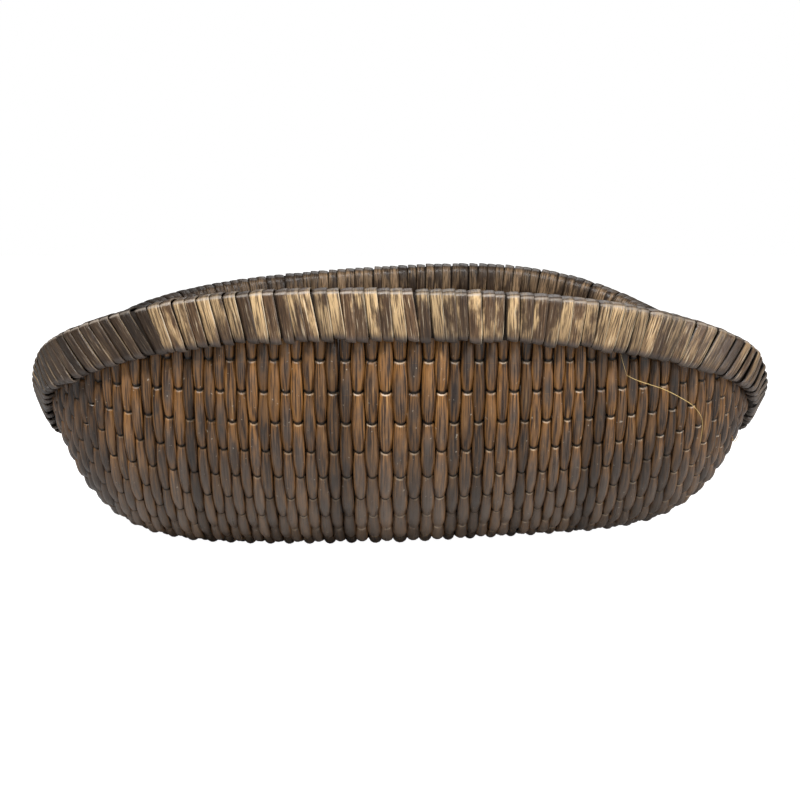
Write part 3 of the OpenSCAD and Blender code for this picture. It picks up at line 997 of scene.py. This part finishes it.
def hoop(r, h, half):
    """A closed strip that runs round the rim, out by r and up by h, with half its height."""
    run = np.linspace(0, RIM_AROUND, 361)[:-1]
    centre, out, up, _ = rim_frame(run)
    return {"points": centre + out * r + up * h, "wide": up * half, "face": out, "run": run,
            "offset": np.full((len(run), 3), r * 40)}


strip_piece("hoop_outer", "outer_hoop", "hoop_wood", [hoop(0.0064, -0.001, 0.0125)], True,
            Thickness=HOOP_THICK, Material=HOOP)
strip_piece("hoop_inner", "inner_hoop", "hoop_wood", [hoop(-0.0064, 0.001, 0.0085)], True,
            Thickness=HOOP_THICK, Material=HOOP)
strip_piece("filler_rod", "rim_filler_rod", "hoop_wood", [hoop(0, 0.0074, 0.0033)], True,
            Thickness=FILLER_THICK, Squareness=1.3, Material=HOOP)
print("hoops and filler rod made; pieces so far:", len(made) + len(made_twine) + 3)

# %% [markdown]
# ## The binding
#
# The binding is 189 turns of split willow. Each turn starts between two rods under the outer hoop,
# climbs its face, goes over the top and down the inner hoop. Its right-hand edge lies on its
# neighbour, like a shingle. We draw the way round once, as a section: out and up from the rim's
# centre line.

# %% Section of a turn
SECTION = np.array([
    (0.0035, -0.0142), (0.0070, -0.0152), (0.0088, -0.0148), (0.0097, -0.0132),
    (0.0100, -0.0105), (0.0101, -0.0060), (0.0101, -0.0010), (0.0100, 0.0040),
    (0.0100, 0.0088), (0.0098, 0.0104), (0.0094, 0.0113), (0.0086, 0.0120),
    (0.0070, 0.0125), (0.0030, 0.0131), (-0.0025, 0.0129), (-0.0066, 0.0118),
    (-0.0090, 0.0100), (-0.0099, 0.0070), (-0.0101, 0.0030), (-0.0101, -0.0020),
    (-0.0099, -0.0065), (-0.0090, -0.0090), (-0.0065, -0.0100), (-0.0035, -0.0096)])
RIDGE_HEIGHT = 0.0113           # where the outer face turns over into the top
section_step = np.gradient(SECTION, axis=0)
SECTION_FACE = unit(np.stack([section_step[:, 1], -section_step[:, 0]], -1))
SECTION_RUN = np.concatenate([[0], np.cumsum(np.linalg.norm(np.diff(SECTION, axis=0), axis=1))])
# A strip is narrower where it curls under the hoops.
NARROWED = np.interp(SECTION_RUN, [0, 0.006, 0.011, SECTION_RUN[-1] - 0.008, SECTION_RUN[-1]],
                     [0.7, 0.85, 1, 1, 0.8])
print("a turn's length in mm:", round(1000 * SECTION_RUN[-1]))

# %% [markdown]
# No two turns are alike, but they change smoothly round the rim: they stand upright along the
# middle of a side and lean over towards the ends, where the hoops bend away from each other's
# turns and dark gaps open between them. A short table holds those trends, and each turn adds a
# little chance of its own.

# %% How the turns change round the rim
TURN_PITCH = 0.0070
GOLD_START = 0.649              # share of the way round at which the golden strips begin
# Each column: share of the way round, spacing in turn pitches, degrees that a turn's top leans to
# the left, width as a share of its spacing, gilding by hands, lift of one edge over the next turn,
# darkness of the seam.
RIM_TABLE = np.array([
    (0.000, 1.2, -40, 0.86, 0.05, 0.02, 1.0), (0.060, 1.1, -24, 0.90, 0.00, 0.04, 0.9),
    (0.120, 1.0, 0, 1.00, 0.80, 0.10, 0.5), (0.300, 1.0, 0, 1.00, 0.80, 0.10, 0.5),
    (0.380, 1.0, 0, 1.00, 0.15, 0.10, 0.5),
    (0.440, 1.1, 14, 0.95, 0.00, 0.05, 0.8), (0.480, 1.2, 40, 0.88, 0.00, 0.02, 1.0),
    (0.520, 1.2, 46, 0.76, 0.00, 0.01, 1.0), (0.550, 1.1, 42, 0.90, 0.00, 0.04, 0.7),
    (0.600, 1.0, 30, 1.04, 0.00, 0.07, 0.4), (0.648, 1.0, 16, 1.06, 0.00, 0.10, 0.5),
    (0.650, 1.0, 8, 1.06, 0.60, 0.12, 0.9), (0.700, 1.0, 8, 1.06, 0.80, 0.12, 0.9),
    (0.750, 1.0, 7, 1.05, 1.00, 0.12, 0.9),
    (0.800, 1.0, 0, 1.05, 0.90, 0.12, 0.8), (0.860, 1.0, -5, 1.05, 0.42, 0.10, 0.8),
    (0.885, 1.1, -16, 0.95, 0.30, 0.05, 0.9), (0.910, 1.25, -30, 0.74, 0.22, 0.00, 1.0),
    (0.935, 1.35, -40, 0.66, 0.15, 0.00, 1.0), (0.965, 1.2, -44, 0.84, 0.05, 0.01, 1.0),
    (1.000, 1.2, -44, 0.86, 0.05, 0.02, 1.0)])
LEAN_CHANCE, WIDTH_CHANCE, LIFT_CHANCE = 1.2, 0.08, 0.025   # degrees, share, share of the width
END_CHANCE, FACE_CHANCE, PLACE_CHANCE = 0.0006, 0.00016, 0.0005     # metres
print("a turn leans at most, in degrees:", int(RIM_TABLE[:, 2].min()), int(RIM_TABLE[:, 2].max()))


def binding_turn(run):
    """One turn of binding at a distance along the rim."""
    share = np.interp(run, rim_run, plan_run) / plan_run[-1]
    spacing, degrees, width, gilt, lift, seam = (np.interp(share, RIM_TABLE[:, 0], column)
                                                 for column in RIM_TABLE[:, 1:].T)
    lean = math.tan(math.radians(degrees + seed.normal(0, LEAN_CHANCE)))
    half = TURN_PITCH * 0.5 * spacing * width * seed.uniform(1 - WIDTH_CHANCE, 1 + WIDTH_CHANCE)
    r, h = SECTION.T
    n = len(r)
    outside = r > 0
    # Where the strip curls under it is less gilded and gets painted shade.
    low = np.where(outside, np.interp(h, [-0.0145, -0.010, 0.003], [1, 0.45, 0]), 0.3)
    centre, out, up, along = rim_frame(run - lean * h)
    face = out * SECTION_FACE[:, :1] + up * SECTION_FACE[:, 1:]
    depth = h + outside * low * seed.normal(0, END_CHANCE)
    points = centre + out * r[:, None] + up * depth[:, None] + face * seed.normal(0, FACE_CHANCE)
    raised = half * (lift + seed.normal(0, LIFT_CHANCE))
    turn = {"points": points, "wide": along * (half * NARROWED)[:, None] + face * raised,
            "face": face, "run": SECTION_RUN, "low": low,
            # The ridge, where the outer face turns over, is partly real wear and partly a painted
            # highlight.
            "ridge": np.where(outside & (np.abs(h - RIDGE_HEIGHT) < 0.0003), 0.8, 0.0),
            # The top of the rim gets painted shade.
            "top": 1.0 * (np.abs(r) < 0.0088) * (h > 0.009),
            "gilt": np.full(n, gilt), "seam": np.full(n, seam),
            "tone": np.full(n, seed.uniform(0, 1)),
            "offset": np.tile(seed.uniform(0, 5, 3), (n, 1))}
    # A sweep's faces point outwards only if it runs the right way: here from inside to outside.
    return {key: values[::-1] for key, values in turn.items()}


def binding_piece(name, node, slot, start, end, material):
    """Winds one length of binding, from a share of the way round to another."""
    share = np.linspace(start, end, 400)
    spacing = np.interp(share, RIM_TABLE[:, 0], RIM_TABLE[:, 1])
    steps = np.diff(run_at(share)) / (TURN_PITCH * 0.5 * (spacing[1:] + spacing[:-1]))
    turns_so_far = np.concatenate([[0], np.cumsum(steps)])
    count = round(turns_so_far[-1])
    places = np.interp((np.arange(count) + 0.5) / count * turns_so_far[-1], turns_so_far,
                       run_at(share))
    places = places + seed.normal(0, PLACE_CHANCE, count)
    print(name, "turns:", count)
    return strip_piece(name, node, slot, [binding_turn(run) for run in places],
                       Thickness=0.0008, Crown=0.0004, Material=material)


made_binding = [binding_piece(*length) for length in (
    ("binding_front", "rim_binding_front", "binding_golden", GOLD_START, 0.9999, GOLDEN),
    ("binding_back", "rim_binding_back", "binding_dark", 0, 0.419, DARK),
    ("binding_left_end", "rim_binding_left_end", "binding_dark", 0.42, GOLD_START, DARK))]
print("binding faces:", [len(p.data.polygons) for p in made_binding])

# %% [markdown]
# ## Camera, light and floor
#
# The camera stands about a metre away and a little above the basket, as someone who sits at the
# table sees it. Three soft square lights and a faint white room light it from all round,
# with the key high on the left. The floor and the room are plain white to the camera, so nothing
# but the basket is seen, yet they light it much less than they look: that keeps the bark dark.

# %% Camera, light and floor
def stand(name, data, place, target):
    """Puts a camera or a light at a place, turned to look at the target."""
    thing = bpy.data.objects.new(name, data)
    bpy.context.scene.collection.objects.link(thing)
    thing.location = place
    thing.rotation_euler = (Vector(target) - thing.location).to_track_quat("-Z", "Y").to_euler()
    return thing


camera = stand("camera", bpy.data.cameras.new("camera"), (0, -0.9415, 0.212), (0, 0, 0.085))
camera.data.lens = 62
bpy.context.scene.camera = camera

for name, place, size, power in (("key", (-0.5, -1.3, 1.6), 0.5, 43),
                                 ("fill", (1.4, -1.0, 0.7), 0.8, 17),
                                 ("back", (0.2, 1.4, 1.4), 1.0, 7)):
    lamp = bpy.data.lights.new(name, "AREA")
    lamp.shape, lamp.size, lamp.energy = "SQUARE", size, power
    stand(name, lamp, place, (0, 0, 0.08))

SKY = 0.20                      # how strongly the white room lights the basket
world = bpy.data.worlds.new("studio")
bpy.context.scene.world = world
world.use_nodes = True
sky = Tree(world.node_tree)
background = world.node_tree.nodes["Background"]
seen = sky.add("ShaderNodeLightPath", out="Is Camera Ray")
sky.put(background.inputs["Color"], (1, 1, 1, 1))
sky.put(background.inputs["Strength"], sky.math("MULTIPLY_ADD", seen, 1.0 - SKY, SKY))
bpy.context.scene.view_settings.view_transform = "Standard"

floor_mesh = bpy.data.meshes.new("floor")
floor_mesh.from_pydata([(-6, -6, 0), (6, -6, 0), (6, 6, 0), (-6, 6, 0)], [], [(0, 1, 2, 3)])
floor = bpy.data.objects.new("floor", floor_mesh)
bpy.context.scene.collection.objects.link(floor)
paper = Finish("floor_paper", Roughness=0.9, Base_Color=(0.5, 0.5, 0.5, 1),
               Emission_Color=(1, 1, 1, 1))
paper.put(paper.shader.inputs["Emission Strength"],
          paper.add("ShaderNodeLightPath", out="Is Camera Ray"))
floor_mesh.materials.append(paper.material)
print("lights:", len(bpy.data.lights), "materials:", len(bpy.data.materials))
